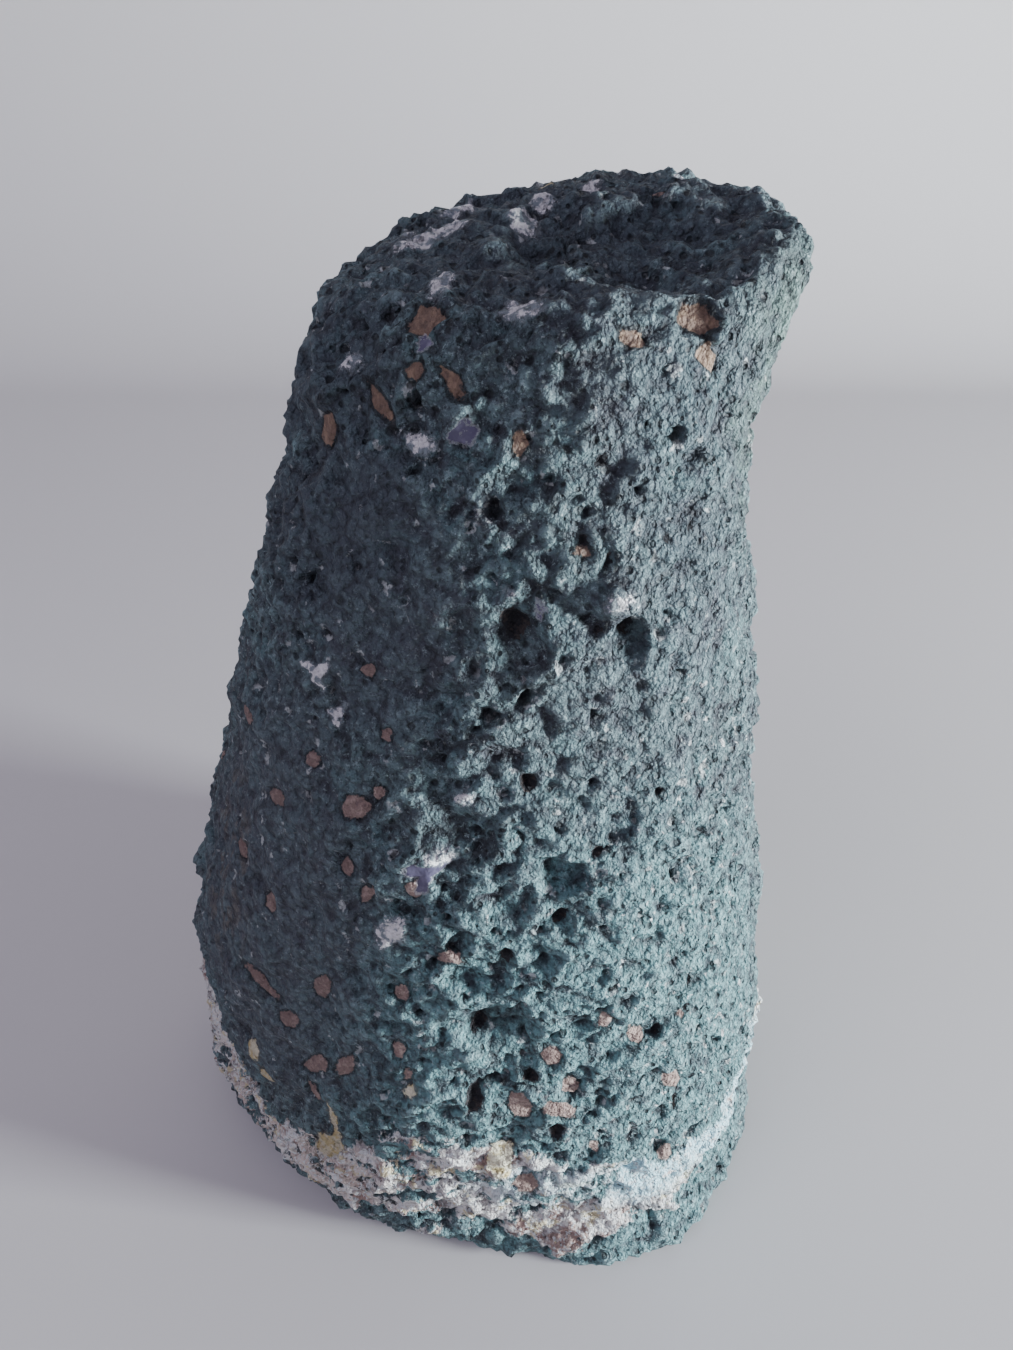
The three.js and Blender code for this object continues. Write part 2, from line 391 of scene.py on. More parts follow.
@dataclass(frozen=True)
class PatchForm:
    """How a mineral changes the skin where it lies.

    Attributes:
        flush: How far it wipes out the rind's relief, from 0 to 1.
        level: How far it is worn to one plane, from 0 to 1.
        raise_mm: Height over the rind; negative is sunken.
        groove_mm: Depth of the crack round it.
        bowl_mm: Depth of the bowl that it leaves.
    """

    flush: float
    level: float
    raise_mm: float
    groove_mm: float
    bowl_mm: float = 0.0

    def step(self, patch: Patch, distance: np.ndarray, out: np.ndarray) -> np.ndarray:
        """Give how far a patch moves the skin outward.

        Args:
            patch: The patch.
            distance: Each vertex's distance outside its outline.
            out: Each vertex's height over the patch's own plane.

        Returns:
            The moves.
        """
        inside = smoothstep(*PATCH_EDGE, distance)
        groove = np.exp(-((distance - GROOVE_AT) / GROOVE_WIDTH) ** 2)
        flat = np.where(np.abs(out) < SAME_FACE, -out, 0.0)
        narrow = min(patch.wide, patch.tall)
        begin, deepest = BOWL_EDGE
        bowl = min(1.0, narrow / FULL_BOWL) * smoothstep(begin, deepest * narrow, distance)
        return (inside * (self.level * flat + self.raise_mm) - groove * self.groove_mm
                - self.bowl_mm * bowl)


PATCH_FORMS: Mapping[Mineral, PatchForm] = {
    Mineral.AMYGDALE: PatchForm(0.9, 0.4, -0.1, 0.55),
    Mineral.CHIP: PatchForm(0.8, 0.9, -0.4, 0.5),
    Mineral.AGATE: PatchForm(0.95, 0.8, -0.2, 0.3),
    Mineral.QUARTZ: PatchForm(0.15, 0.1, 0.4, 0.0),
    Mineral.OCHRE: PatchForm(0.4, 0.1, 0.2, 0.0),
    Mineral.DIRT: PatchForm(0.7, 0.0, 0.0, 0.0, 2.2),
}


# ---- fields of the skin


@dataclass(frozen=True)
class Area:
    """A soft-edged area of the skin.

    Attributes:
        at: Its middle.
        reach: How far it reaches along X, Y and Z.
        strength: The field's value at its middle.
    """

    at: tuple[float, float, float]
    reach: tuple[float, float, float]
    strength: float = 1.0

    def share(self, points: np.ndarray) -> np.ndarray:
        """Give the area's value at each point, strength at the middle and 0 outside."""
        away = np.linalg.norm((points - np.array(self.at)) / np.array(self.reach), axis=1)
        return self.strength * smoothstep(1.0, 0.35, away)


# The areas of each field. Calm, rugged, swell and dent change the relief, and the others the
# colours.
AREAS: Mapping[str, Sequence[Area]] = {
    "calm": (
        Area((-50, -42, 108), (50, 52, 94)), Area((-18, -42, 188), (26, 28, 46), 0.7),
        Area((-40, 66, 120), (50, 40, 60), 0.7), Area((36, -48, 172), (34, 30, 46), 0.45),
        Area((-34, -60, 74), (26, 20, 30), 0.6),
    ),
    "worn": (
        Area((6, -50, 184), (18, 22, 26), 0.4), Area((22, -50, 225), (16, 22, 22), 0.5),
        Area((-58, 20, 150), (30, 40, 50), 0.7), Area((30, 60, 60), (40, 40, 40), 0.6),
    ),
    "moss": (
        Area((66, -28, 226), (26, 34, 46)), Area((62, 30, 120), (50, 60, 80), 0.6),
        Area((-20, 70, 70), (40, 40, 60), 0.5),
    ),
    # Slate darkens the crown and upper shoulders: partly the rind's own tone, and partly painted
    # shade where the window's light falls weakly.
    "slate": (
        Area((18, -10, 258), (64, 60, 34)), Area((-30, -25, 214), (36, 36, 60)),
        Area((46, -42, 222), (38, 34, 44), 0.65), Area((-70, 0, 60), (40, 60, 60), 0.6),
    ),
    "seam": (
        Area((-64, -34, 118), (16, 22, 56)), Area((-70, 8, 70), (20, 24, 40), 0.8),
    ),
    "rugged": (
        Area((0, 0, 262), (110, 100, 34)), Area((-32, -16, 225), (36, 36, 44), 0.9),
        Area((-74, -14, 130), (26, 36, 90), 0.8), Area((20, 70, 190), (60, 40, 60), 0.6),
        Area((0, -60, 2), (110, 40, 22), 0.7),
    ),
    "swell": (
        Area((28, -51, 196), (6, 9, 6)), Area((45, 32, 258), (9, 12, 14)),
        Area((64, -26, 151), (9, 10, 6), 0.7), Area((49, -54, 124), (7, 9, 7), 0.5),
        Area((-12, -60, 136), (9, 9, 8), 0.6),
    ),
    # Dents are also painted darker in the rock's colours, which is painted shade.
    "dent": (
        Area((64, -26, 142), (9, 10, 5), 0.8), Area((17, -6, 252), (12, 20, 16), 1.1),
        Area((30, -18, 250), (15, 13, 14), 1.2), Area((26, 30, 262), (80, 34, 14), 0.7),
        Area((60, 0, 262), (20, 34, 14), 0.7), Area((31, -48, 186), (5, 9, 6), 0.8),
        Area((10, -51, 187), (6, 10, 10), 0.8), Area((5, -68, 94), (12, 14, 9), 1.3),
        Area((-2, -66, 108), (7, 10, 5), 0.7), Area((19, -61, 135), (7, 10, 4), 0.7),
        Area((15, -66, 115), (6, 10, 5), 0.6), Area((50, -49, 138), (4, 8, 5), 0.6),
        Area((-3, -65, 121), (4, 8, 6), 0.6), Area((-20, 60, 150), (12, 14, 9), 0.8),
        Area((40, 62, 96), (9, 14, 12), 0.8), Area((74, 22, 170), (10, 12, 8), 0.7),
    ),
    # Pale lightens the rind low down: partly its own tone, and partly painted light where the
    # window's light falls strongest.
    "pale": (
        Area((30, -56, 60), (90, 60, 120)), Area((10, 60, 30), (90, 60, 90), 0.7),
    ),
    # White specks: partly white grains, and partly painted glints on the side that the window
    # lights.
    "fresh": (
        Area((56, -50, 100), (50, 50, 130)), Area((-10, 75, 120), (60, 30, 90), 0.6),
    ),
    "pure": (
        Area((62, -44, 36), (40, 40, 24)), Area((44, -62, 32), (24, 22, 18)),
        Area((20, -66, 34), (34, 30, 16), 0.5), Area((40, 60, 34), (50, 40, 24), 0.8),
    ),
    "stained": (
        Area((-52, -52, 34), (52, 46, 40)),
    ),
}

# The crust round the foot: turns from the front toward the right, in degrees, and the heights of
# its lower and upper edges there.
BAND_TURNS = (-180, -150, -120, -95, -80, -68, -60, -50, -36, -22, -13, 4, 20, 29, 40, 50, 60,
              72, 82, 98, 120, 150, 180)
BAND_LOWER = (14, 8, 12, 10, 12, 14, 18, 20, 18, 20, 9, 14, 9, 14, 19, 26, 33,
              41, 47, 37, 26, 24, 14)
BAND_UPPER = (45, 29, 42, 47, 58, 60, 40, 31, 36, 46, 55, 48, 46, 41, 34, 34, 41,
              50, 56, 43, 50, 35, 45)


class Skin:
    """The stone's surface as arrays, from which its fields are worked out.

    Attributes:
        FAR: Distance from a mineral that has no patch near.
        REACH: Share of its greater side, from the middle, in which a patch is looked for.
        PAST: How far past that it is looked for.
        LEVEL_LEAST: Share of level under which the skin counts as lying flat.
        WALL_MOST: Upward share over which the skin counts as the crown.
        FACING_LEAST: Share toward the camera from which a wall faces it.
        WIDEN_LEAST: Narrowest that a turned wall's width may look, as a share.
    """

    FAR = 20.0
    REACH = 0.8
    PAST = 3.0
    LEVEL_LEAST = 0.5
    WALL_MOST = 0.6
    FACING_LEAST = 0.25
    WIDEN_LEAST = 0.35

    def __init__(self, mesh: Mesh) -> None:
        """Read a mesh's vertices and normals.

        Args:
            mesh: The smoothed body, in metres.
        """
        count = len(mesh.vertices)
        points = np.empty(count * 3, np.float32)
        normals = np.empty(count * 3, np.float32)
        mesh.vertices.foreach_get("co", points)
        mesh.vertex_normals.foreach_get("vector", normals)
        self.points = points.reshape(-1, 3).astype(float) / MM
        self.normals = normals.reshape(-1, 3).astype(float)
        self.tree = KDTree(count)
        for number, point in enumerate(self.points):
            self.tree.insert(point, number)
        self.tree.balance()
        self.fields = {name: np.zeros(count) for name in ("flush", "level")}
        for mineral in Mineral:
            self.fields[mineral.value] = np.full(count, self.FAR)

    def add_areas(self, name: str, areas: Sequence[Area]) -> None:
        """Add a field from its areas, the strongest where they overlap."""
        self.fields[name] = np.maximum.reduce([area.share(self.points) for area in areas])

    def add_band(self) -> None:
        """Add how far inside the crust's band each vertex lies, in height."""
        turns = np.degrees(np.arctan2(self.points[:, 0], -self.points[:, 1]))
        lower = np.interp(turns, BAND_TURNS, BAND_LOWER)
        upper = np.interp(turns, BAND_TURNS, BAND_UPPER)
        self.fields["band"] = np.minimum(self.points[:, 2] - lower, upper - self.points[:, 2])

    def add_patch(self, mineral: Mineral, patch: Patch) -> None:
        """Add one patch to its mineral's field and to the steps that minerals cut.

        Args:
            mineral: What it is made of.
            patch: The patch.
        """
        middle, _, _ = self.tree.find(patch.at)
        reach = max(patch.wide, patch.tall) * self.REACH + self.PAST
        near = np.array([number for _, number, _ in self.tree.find_range(middle, reach)])
        places = self.patch_frame(patch, near)
        distance = patch.distance(places[:, :2])
        form = PATCH_FORMS[mineral]
        known = self.fields[mineral.value]
        known[near] = np.minimum(known[near], distance)
        self.fields["level"][near] += form.step(patch, distance, places[:, 2])
        flush = form.flush * smoothstep(*PATCH_EDGE, distance)
        self.fields["flush"][near] = np.maximum(self.fields["flush"][near], flush)

    def patch_frame(self, patch: Patch, near: np.ndarray) -> np.ndarray:
        """Give the places of nearby vertices in a patch's own level, upward and outward axes.

        On the walls that face the camera the axes are the camera's, so that an outline stays
        upright there, however much the skin under it is turned away.

        Args:
            patch: The patch.
            near: Numbers of the vertices within its reach.

        Returns:
            One row of along, across and out for each vertex.
        """
        out = unit(self.normals[near].mean(axis=0))
        middle = self.points[near].mean(axis=0)
        level = np.cross(UPWARD, out)
        if np.linalg.norm(level) < self.LEVEL_LEAST:
            level = np.array((1.0, 0.0, 0.0))
        level = unit(level)
        up = np.cross(out, level)
        toward = unit(np.array(EYE) - middle)
        if out @ toward > self.FACING_LEAST and out[2] < self.WALL_MOST:
            right = unit(np.cross(UPWARD, toward))
            level = right / max(level @ right, self.WIDEN_LEAST)
            up = np.cross(toward, right)
        lean = math.radians(patch.lean)
        along = level * math.cos(lean) + up * math.sin(lean)
        across = up * math.cos(lean) - level * math.sin(lean)
        return (self.points[near] - middle) @ np.stack((along, across, out), axis=1)


# ---- relief


@dataclass(frozen=True)
class Relief:
    """Sizes of the rind's fine relief.

    Each kind of lump or bubble has the spacing of its cells or waves, and a height or depth.
    Rarity is the share of cells that hold no bubble. Twist turns the furrows round the stone as
    they climb, and stretch makes them longer than they are wide. Tatter breaks up the crust's
    edge, crumb is the crust's own relief, and near the foot all of it fades out.
    """

    large_bubble_spacing: float = 6.6
    large_bubble_depth: float = 2.3
    large_bubble_rarity: float = 0.6
    small_bubble_spacing: float = 3.4
    small_bubble_depth: float = 2.1
    small_bubble_rarity: float = 0.15
    furrow_spacing: float = 6.2
    furrow_height: float = 4.6
    furrow_stretch: float = 2.6
    furrow_twist_per_mm: float = math.radians(1.05)
    knob_spacing: float = 3.2
    knob_height: float = 2.6
    nodule_spacing: float = 3.5
    nodule_height: float = 2.0
    rope_spacing: float = 10.0
    rope_height: float = 9.0
    swell_height: float = 2.6
    dent_depth: float = 3.2
    crumb_spacing: float = 4.4
    crumb_height: float = 4.0
    tatter_spacing: float = 13.0
    tatter_reach: float = 34.0
    foot_fade: float = 1.6

    def inputs(self) -> dict[str, float]:
        """Give the value of each input of the tree, by its name there."""
        return {name.replace("_", " ").title(): value for name, value in asdict(self).items()}


class ReliefTree:
    """The geometry node tree that carves the relief along the skin's normals.

    It has one named input for each size of the relief and one for the finish.

    Attributes:
        CALM: Share of the relief that is left on calm rind.
        RUGGED: Share of the knobs that is left under the ropes of rugged rind.
        COVERED: Share of the bubbles that is left under the crust.
        PURE: Share of the tatter that is left where the crust is pure.
        FOLD_MEAN: Mean of noise that is folded at its middle.
        NODULE_MEAN: Mean of a nodule's squared distance, in cells.
        CRUMB_BASE: Thickness of the crust under its crumb.
        BUBBLE_RADII: Smallest and largest radius of a bubble, in cells.
        SWAY: Spacing of the noise that bends the cells, and how far it does.
        VALLEY: Height of the furrows where bubbles are shallowest and deepest, and the shares of
            their depth there.
        BAND_MOST: How far inside the band the tatter still reaches.
        BOWL_FLOOR: Share of a bubble's radius within which it is at its deepest.
        SQUAT: How many times wider than tall the tatter is.
        CRUST_EDGE: Half of the width in which the crust begins.
        FOOT: Height under which nothing moves.
    """

    CALM = 0.4
    RUGGED = 0.55
    COVERED = 0.5
    PURE = 0.5
    FOLD_MEAN = 0.09
    NODULE_MEAN = 0.3
    CRUMB_BASE = 0.6
    BUBBLE_RADII = (0.02, 0.48)
    SWAY = 4.0
    VALLEY = (0.25, -0.35, 0.45, 2.1)
    BAND_MOST = 2.0
    BOWL_FLOOR = 0.35
    SQUAT = 1.9
    CRUST_EDGE = 0.6
    FOOT = 0.1

    def __init__(self, relief: Relief) -> None:
        """Start the tree with its inputs and the vertices' places.

        Args:
            relief: The relief whose sizes become inputs.
        """
        self.tree = bpy.data.node_groups.new("rind_relief", "GeometryNodeTree")
        self.add = partial(add, self.tree)
        kinds = {"Geometry": "NodeSocketGeometry"}
        kinds.update({name: "NodeSocketFloat" for name in relief.inputs()})
        kinds["Finish"] = "NodeSocketMaterial"
        for name, kind in kinds.items():
            self.tree.interface.new_socket(name, in_out="INPUT", socket_type=kind)
        self.tree.interface.new_socket("Geometry", in_out="OUTPUT",
                                       socket_type=kinds["Geometry"])
        self.size = self.add("NodeGroupInput").outputs
        self.place = self.add(VECTOR, self.add("GeometryNodeInputPosition"), operation="SCALE",
                              into={"Scale": 1 / MM})
        self.height = self.add("ShaderNodeSeparateXYZ", self.place).outputs[2]
        sway = self.add(NOISE, into={"Vector": self.place, "Scale": 1 / self.SWAY, "Detail": 2.0})
        sway = self.add(VECTOR, sway.outputs["Color"], operation="SCALE",
                        into={"Scale": self.SWAY})
        self.bent = self.add(VECTOR, self.place, sway, operation="ADD")

    def scale(self, name: str) -> Node:
        """Give the texture scale for one of the tree's spacings."""
        return self.add(MATH, 1.0, self.size[f"{name} Spacing"], operation="DIVIDE")

    def field(self, name: str) -> Node:
        """Read one of the skin's fields."""
        return self.add("GeometryNodeInputNamedAttribute", name)

    def left(self, value: Any, share: float) -> Node:
        """Give a factor that falls from 1 where a value is 0 to a share where it is 1."""
        return self.add(RANGE, value, 0.0, 1.0, 1.0, share)

    def wave(self, name: str, place: Any, folded: bool = False) -> Node:
        """Add one kind of lump, as noise of its own spacing and height, about 0 in the mean.

        Args:
            name: Which spacing and height it has.
            place: Where it is read.
            folded: Whether the noise is folded at its middle, which gives round backs with
                sharp creases between them.

        Returns:
            The lumps' height.
        """
        level = self.add(NOISE, into={
            "Vector": place, "Scale": self.scale(name), "Detail": 2.0, "Roughness": 0.55})
        mean = 0.5
        if folded:
            level = self.add(MATH, level, mean, operation="SUBTRACT")
            level = self.add(MATH, level, operation="ABSOLUTE")
            mean = self.FOLD_MEAN
        level = self.add(MATH, level, mean, operation="SUBTRACT")
        return self.add(MATH, level, self.size[f"{name} Height"], operation="MULTIPLY")

    def nodules(self) -> Node:
        """Add close-set round nodules with sharp creases between them, about 0 in the mean.

        Returns:
            The nodules' height.
        """
        cells = self.add(CELLS, into={"Vector": self.bent, "Scale": self.scale("Nodule")})
        away = cells.outputs["Distance"]
        square = self.add(MATH, away, away, operation="MULTIPLY")
        dome = self.add(MATH, self.NODULE_MEAN, square, operation="SUBTRACT")
        return self.add(MATH, dome, self.size["Nodule Height"], operation="MULTIPLY")

    def bubbles(self, name: str) -> Node:
        """Add one size of open bubble: at most one in a cell, each with its own radius.

        Args:
            name: Which spacing, rarity and depth they have.

        Returns:
            The bubbles' depth.
        """
        cells = self.add(CELLS, into={"Vector": self.bent, "Scale": self.scale(name)})
        draw = self.add("FunctionNodeSeparateColor", cells.outputs["Color"])
        radius = self.add(RANGE, draw, self.size[f"{name} Rarity"], 1.0, *self.BUBBLE_RADII)
        share = self.add(MATH, cells.outputs["Distance"], radius, operation="DIVIDE")
        bowl = self.add(RANGE, share, 1.0, self.BOWL_FLOOR, 0.0, radius, **SMOOTH)
        return self.add(MATH, bowl, self.size[f"{name} Depth"], operation="MULTIPLY")

    def flow(self) -> Node:
        """Turn and stretch places as they rise, so that furrows that run upright there climb.

        Returns:
            The turned places.
        """
        turn = self.add(MATH, self.height, self.size["Furrow Twist Per Mm"],
                        operation="MULTIPLY")
        back = self.add(MATH, turn, -1.0, operation="MULTIPLY")
        twisted = self.add("ShaderNodeVectorRotate", rotation_type="Z_AXIS",
                           into={"Vector": self.place, "Angle": back})
        shrink = self.add(MATH, 1.0, self.size["Furrow Stretch"], operation="DIVIDE")
        stretch = self.add("ShaderNodeCombineXYZ", 1.0, 1.0, shrink)
        return self.add(VECTOR, twisted, stretch, operation="MULTIPLY")

    def crust_inside(self) -> Node:
        """Add how far inside the tattered crust a vertex lies.

        Returns:
            The distance, above 0 inside.
        """
        squat = self.add(VECTOR, self.place, (1.0, 1.0, self.SQUAT), operation="MULTIPLY")
        tatter = self.add(NOISE, into={
            "Vector": squat, "Scale": self.scale("Tatter"), "Detail": 5.0, "Roughness": 0.62})
        tatter = self.add(MATH, tatter, 0.5, operation="SUBTRACT")
        reach = self.left(self.field("pure"), self.PURE)
        tatter = self.add(MATH, tatter, reach, operation="MULTIPLY")
        inside = self.add(MATH, self.field("band"), self.BAND_MOST, operation="MINIMUM")
        return self.add(MATH, tatter, self.size["Tatter Reach"], inside,
                        operation="MULTIPLY_ADD")

    def build(self) -> NodeTree:
        """Add up the lumps, take the bubbles away and move the skin.

        Returns:
            The finished tree.
        """
        rugged = self.field("rugged")
        furrow = self.wave("Furrow", self.flow(), True)
        rough = self.left(self.field("calm"), self.CALM)
        furrow = self.add(MATH, furrow, rough, operation="MULTIPLY")
        nodule = self.nodules()
        knob = self.add(MATH, self.wave("Knob", self.place), nodule, operation="ADD")
        worn = self.left(rugged, self.RUGGED)
        knob = self.add(MATH, knob, worn, operation="MULTIPLY")
        lumps = self.add(MATH, knob, rough, furrow, operation="MULTIPLY_ADD")
        rope = self.wave("Rope", self.place, True)
        lumps = self.add(MATH, rope, rugged, lumps, operation="MULTIPLY_ADD")

        crust = self.crust_inside()
        covered = self.add(RANGE, crust, -self.CRUST_EDGE, self.CRUST_EDGE)
        bare = self.left(covered, self.COVERED)
        valley = self.add(RANGE, furrow, *self.VALLEY)
        depth = self.add(MATH, self.bubbles("Large Bubble"), self.bubbles("Small Bubble"),
                         operation="ADD")
        for share in (valley, rough, bare):
            depth = self.add(MATH, depth, share, operation="MULTIPLY")

        crumb = self.add(MATH, self.wave("Crumb", self.place, True), self.CRUMB_BASE,
                         operation="ADD")
        crumb = self.add(MATH, crumb, covered, operation="MULTIPLY")
        lumps = self.add(MATH, lumps, crumb, operation="ADD")
        carved = self.add(MATH, lumps, depth, operation="SUBTRACT")
        self.move(self.with_forms(carved),
                  {"hollow": depth, "crest": lumps, "nodule": nodule, "crust": crust})
        return self.tree

    def with_forms(self, carved: Node) -> Node:
        """Wipe the relief out on the patches and the foot, and add their steps and the areas'.

        Args:
            carved: The relief's height.

        Returns:
            The whole height.
        """
        kept = self.add(MATH, 1.0, self.field("flush"), operation="SUBTRACT")
        total = self.add(MATH, carved, kept, self.field("level"), operation="MULTIPLY_ADD")
        total = self.add(MATH, self.field("swell"), self.size["Swell Height"], total,
                         operation="MULTIPLY_ADD")
        dent = self.add(MATH, self.field("dent"), self.size["Dent Depth"], operation="MULTIPLY")
        total = self.add(MATH, total, dent, operation="SUBTRACT")
        fade = self.add(RANGE, self.height, self.FOOT, self.size["Foot Fade"], **SMOOTH)
        return self.add(MATH, total, fade, operation="MULTIPLY")

    def move(self, total: Node, kept: Mapping[str, Node]) -> None:
        """Store what the finish reads, move the skin and end the tree.

        Args:
            total: How far each vertex moves outward.
            kept: What is stored on the mesh, by name.
        """
        metres = self.add(MATH, total, MM, operation="MULTIPLY")
        push = self.add(VECTOR, self.add("GeometryNodeInputNormal"), operation="SCALE",
                        into={"Scale": metres})
        shown = self.size["Geometry"]
        for name, value in kept.items():
            shown = self.add("GeometryNodeStoreNamedAttribute", data_type="FLOAT",
                             domain="POINT",
                             into={"Geometry": shown, "Name": name, "Value": value})
        shown = self.add("GeometryNodeSetPosition", into={"Geometry": shown, "Offset": push})
        shown = self.add("GeometryNodeRealizeInstances", shown)
        shown = self.add("GeometryNodeSetMaterial",
                         into={"Geometry": shown, "Material": self.size["Finish"]})
        self.add("NodeGroupOutput", shown)


def run_tree(obj: Object, tree: NodeTree, values: Mapping[str, Any]) -> None:
    """Put a geometry node tree on an object and set its inputs.

    Args:
        obj: The object.
        tree: The tree.
        values: The value of each input, by its name in the tree.
    """
    modifier = obj.modifiers.new(tree.name, "NODES")
    modifier.node_group = tree
    for item in tree.interface.items_tree:
        if item.in_out == "INPUT" and item.name in values:
            modifier[item.identifier] = values[item.name]


# ---- finishes


class Pattern(Enum):
    """How a colour is spread: in cloudy patches, or grain by grain."""

    CLOUDS = "clouds"
    GRAINS = "grains"


@dataclass(frozen=True)
class Layer:
    """One colour laid over those before it, in a pattern.

    Attributes:
        colour: sRGB hex.
        share: How much of it shows where it is full.
        spacing: Size of the patches or grains; 0 lays it evenly.
        low: Pattern value at which it begins.
        high: Pattern value at which it is full; below low for a layer in the troughs.
        rough: How strong the finer octaves of cloudy patches are.
        area: A field that limits it.
        area_low: Value of the field at which it begins.
        area_high: Value of the field at which it is full.
        stretch: How the pattern is squeezed along X, Y and Z.
        pattern: Which pattern it has.
    """

    colour: str
    share: float
    spacing: float = 0.0
    low: float = 0.45
    high: float = 0.6
    rough: float = 0.6
    area: str = ""
    area_low: float = 0.0
    area_high: float = 1.0
    stretch: tuple[float, float, float] = (1.0, 1.0, 1.0)
    pattern: Pattern = Pattern.CLOUDS

    def over(self, node: Callable[..., Node], place: Node, under: Any) -> NodeSocket:
        """Add the nodes that lay this colour over another.

        Args:
            node: Adds a node to the material's tree.
            place: The surface point.
            under: The colour under it, a socket or linear values.

        Returns:
            The resulting colour's socket.
        """
        share: Any = self.share
        if self.spacing:
            squeezed = node(VECTOR, place, self.stretch, operation="MULTIPLY")
            pattern = {"Vector": squeezed, "Scale": 1 / self.spacing}
            if self.pattern is Pattern.GRAINS:
                level = node("ShaderNodeSeparateColor",
                             node(CELLS, into=pattern).outputs["Color"])
            else:
                level = node(NOISE, into={**pattern, "Detail": 4.0, "Roughness": self.rough})
            share = node(RANGE, level, self.low, self.high, 0.0, self.share, **SMOOTH)
        if self.area:
            value = node(FIELD, attribute_name=self.area).outputs["Fac"]
            limit = node(RANGE, value, self.area_low, self.area_high, **SMOOTH)
            share = node(MATH, share, limit, operation="MULTIPLY")
        return node(MIX, data_type="RGBA",
                    into={0: share, 6: under, 7: linear(self.colour)}).outputs[2]


GRAIN = 0.8

# Basalt weathers from slate grey to the blue-green of celadonite. Painted highlight lightens its
# crests and nodule tops, painted shade darkens its troughs and the creases between nodules, and
# its bubbles are dark with dirt and painted shade.
ROCK = (
    Layer("#667d80", 1.0),
    Layer("#4a5560", 0.35, 26.0, 0.58, 0.42),
    Layer("#6b9194", 0.5, 14.0, 0.5, 0.64),
    # Partly painted light: the paler tone low down.
    Layer("#78a7aa", 0.8, area="pale", area_high=0.9),
    Layer("#768f84", 0.8, 18.0, 0.36, 0.52, area="moss"),
    Layer("#544e54", 0.8, 16.0, 0.36, 0.5, area="worn"),
    Layer("#8a7757", 0.6, 7.0, 0.5, 0.58, area="seam", stretch=(1.7, 1.7, 0.4)),
    Layer("#4a4652", 0.5, 5.0, 0.52, 0.63),
    # Painted highlight on the crests and the nodule tops.
    Layer("#9cbfc2", 0.45, area="crest", area_low=0.1, area_high=1.2),
    Layer("#a9c8ca", 0.35, area="nodule", area_low=0.2, area_high=0.6),
    # Painted shade in the troughs and between the nodules.
    Layer("#2b2930", 0.7, area="crest", area_low=-0.3, area_high=-1.4),
    Layer("#34313a", 0.5, area="nodule", area_low=-0.05, area_high=-0.45),
    # Painted glints in the fine pale specks, and painted shade in the fine dark specks.
    Layer("#c0dadb", 0.55, 1.3, 0.54, 0.66, 0.8),
    Layer("#23262b", 0.6, 1.1, 0.47, 0.38, 0.8),
    # Greyer, darker tone on calm rind: partly its own tone, and partly painted shade where the
    # rind lies in shade.
    Layer("#585c66", 0.5, area="calm"),
    # Painted shade in the dents.
    Layer("#384545", 0.6, 4.0, 0.36, 0.5, area="dent", area_low=0.85, area_high=1.25),
    # Partly painted shade: the darker slate tone on the crown and upper shoulders.
    Layer("#505a63", 0.6, 20.0, 0.34, 0.46, area="slate"),
    # White specks, partly painted glints.
    Layer("#f4f7f6", 0.9, 2.4, 0.65, 0.7, 0.5, area="fresh"),
    # Painted highlight on the bubbles' rims.
    Layer("#e9f0ee", 0.6, 3.0, 0.56, 0.62, area="hollow", area_low=0.0, area_high=0.12),
    # Dark bubbles: dirt, and painted shade.
    Layer("#1d2226", 0.85, area="hollow", area_low=0.15, area_high=1.6),
)
# Painted shade in the creases between the beads and in the finest pores.
CREASE_SHADE = "#2b2930"
PORE_SHADE = "#1d2226"

# A drusy crust of quartz and calcite: white grains with cream, pink and lilac stains, and dirt
# between them.
CRUST = (
    Layer("#aaa3a2", 1.0),
    Layer("#f6f4ef", 1.0, 8.0, 0.43, 0.52, 0.62, stretch=(1.0, 1.0, 1.6)),
    Layer("#a8877c", 0.85, 14.0, 0.52, 0.58),
    Layer("#e8d8cc", 0.85, 9.0, 0.4, 0.52, area="stained"),
    Layer("#e6dab2", 0.85, 9.0, 0.55, 0.6, stretch=(1.0, 1.0, 1.6)),
    Layer("#7d6745", 0.75, 10.0, 0.58, 0.64, area="stained"),
    Layer("#3c4548", 0.95, 6.0, 0.44, 0.37, 0.66, stretch=(1.0, 1.0, 1.4)),
    Layer("#c8f3ff", 1.0, 5.0, 0.34, 0.44, 0.66, area="pure"),
    Layer("#f4fcfd", 0.7, GRAIN, 0.6, 0.85, pattern=Pattern.GRAINS),
    Layer("#2a2a2e", 0.8, 1.6, 0.4, 0.33, 0.7),
)


@dataclass(frozen=True)
class MineralLook:
    """How a mineral's patches look.

    Attributes:
        layers: The colours of its own surface.
        rim: sRGB hex colour of the line round it.
        rim_mm: How far out the line reaches.
        rim_share: How much of the line shows.
        fray_mm: How far noise moves its edge.
        roughness: Roughness of its surface.
        smooth: How far it wipes out the rock's grain, from 0 to 1.
    """

    layers: Sequence[Layer]
    rim: str
    rim_mm: float
    rim_share: float
    fray_mm: float
    roughness: float
    smooth: float = 0.0


